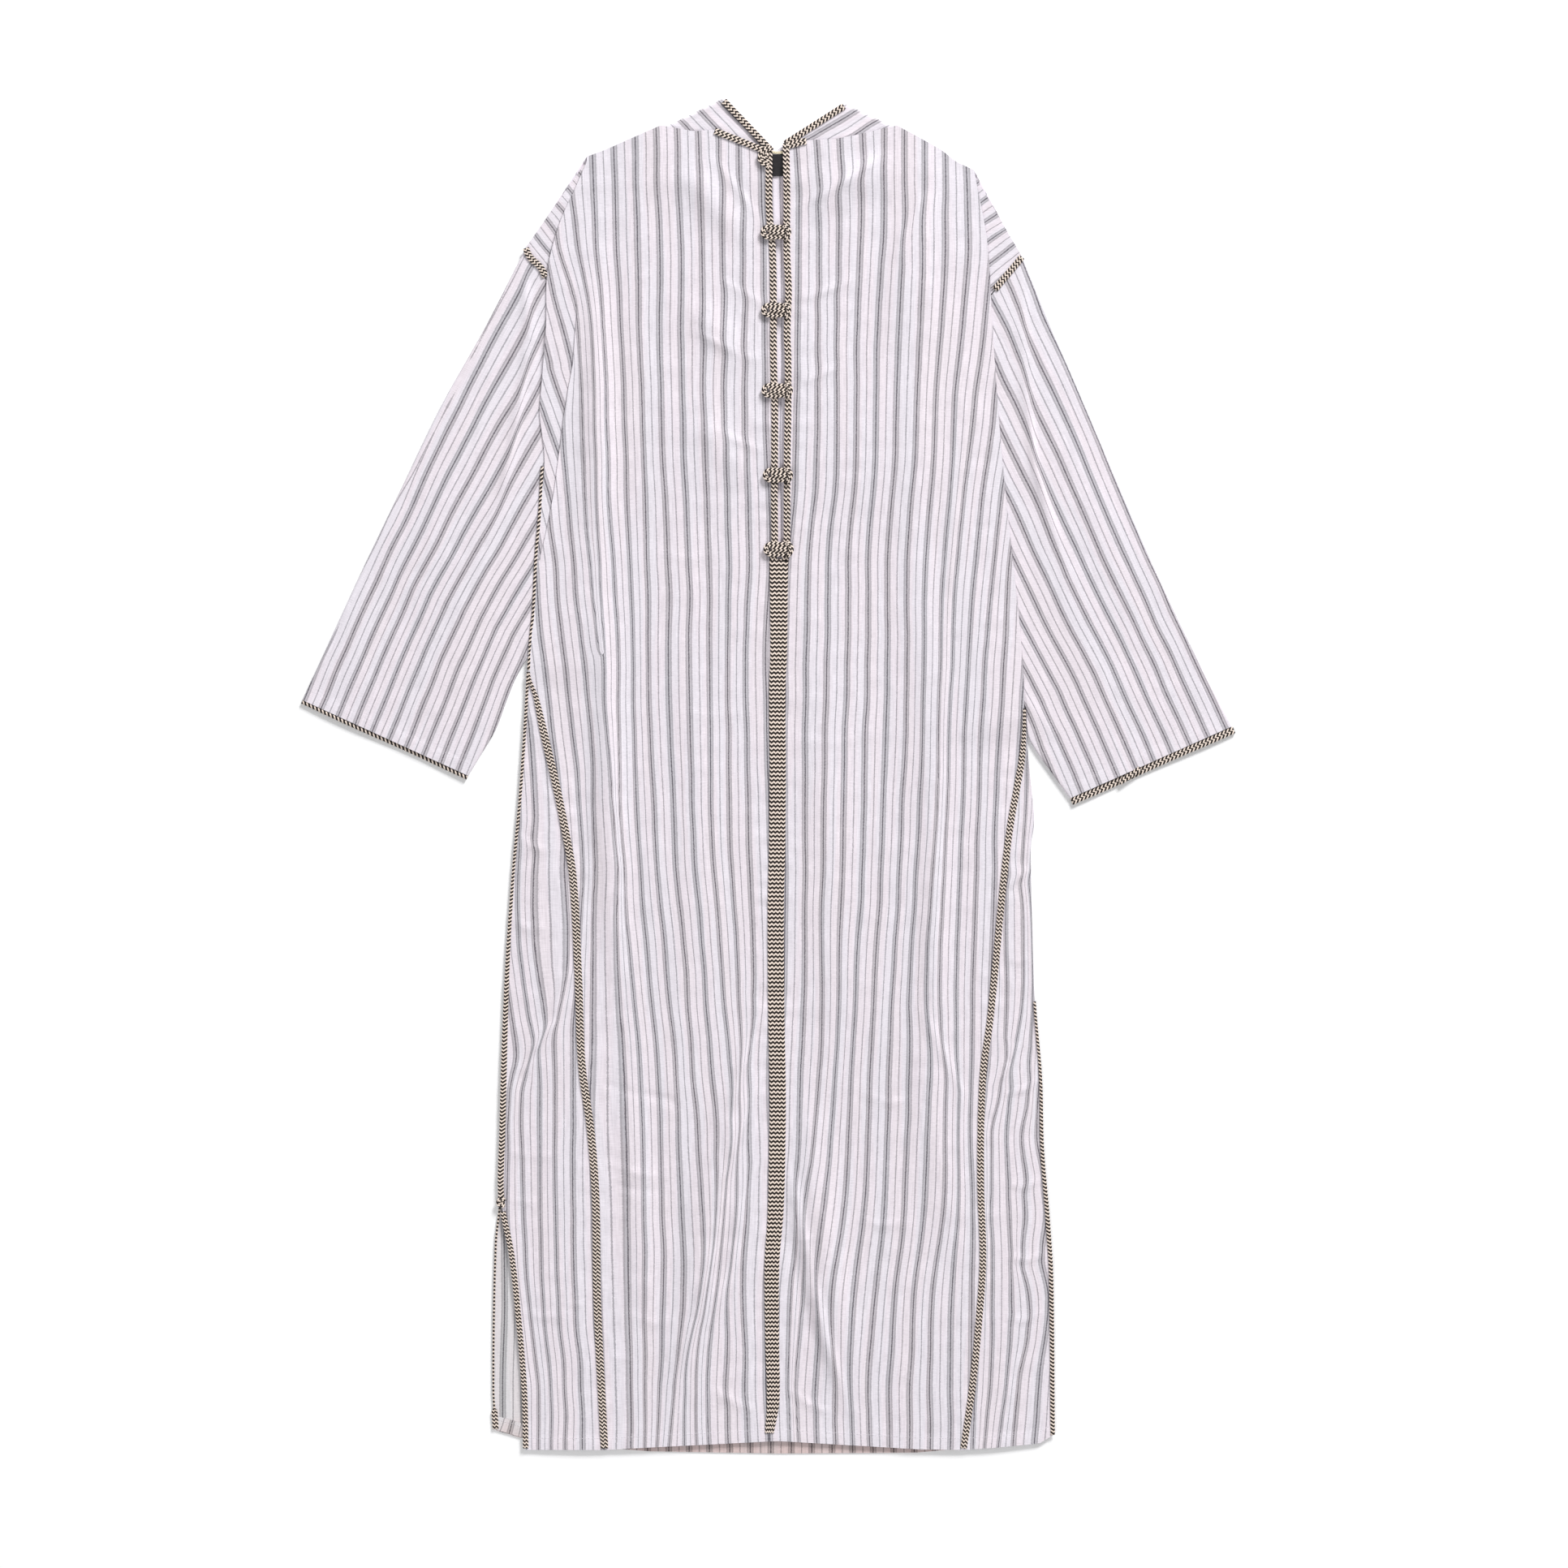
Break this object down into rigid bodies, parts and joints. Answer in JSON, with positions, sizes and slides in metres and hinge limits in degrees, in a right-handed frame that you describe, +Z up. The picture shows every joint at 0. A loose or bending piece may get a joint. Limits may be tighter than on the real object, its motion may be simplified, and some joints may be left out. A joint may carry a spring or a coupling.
{
  "type": "hooded pullover robe",
  "caption": "Loose full-length cotton pullover robe with a hood, wide sleeves, flared side gores and a braided, knotted front slit, laid flat on its back.",
  "frame": {"origin": "on the surface the robe lies on, under the middle of its outline", "axes": "+X towards the sleeve on the right of the picture, +Y from the hem to the hood, +Z up from the surface"},
  "size_m": [0.9781, 1.4188, 0.0154],
  "materials": {
    "cloth": "matte",
    "cloth_inside": "matte",
    "braid": "satin",
    "label": "satin"
  },
  "bodies": {
    "root": {"front_left": "cloth", "front_right": "cloth", "gore_front_left": "cloth", "gore_front_right": "cloth", "shoulder_left": "cloth", "shoulder_right": "cloth", "sleeve_left": "cloth", "sleeve_right": "cloth", "hood_left": "cloth", "hood_right": "cloth", "back": "cloth_inside", "gore_back_left": "cloth_inside", "gore_back_right": "cloth_inside", "cuff_braid_left": "braid", "cuff_braid_right": "braid", "hood_braid_left": "braid", "hood_braid_right": "braid", "placket_braid_left": "braid", "placket_braid_right": "braid", "placket_braid_middle": "braid", "gore_braid_left": "braid", "gore_braid_right": "braid", "armhole_braid_left": "braid", "armhole_braid_right": "braid", "neck_braid_left": "braid", "neck_braid_right": "braid", "side_braid_left": "braid", "side_braid_right": "braid", "slit_braid_front": "braid", "slit_braid_back": "braid", "back_neck_braid": "braid", "knot_1": "braid", "knot_2": "braid", "knot_3": "braid", "knot_4": "braid", "knot_5": "braid", "knot_neck": "braid", "knot_slit": "braid", "neck_label": "label"}
  },
  "joints": []
}
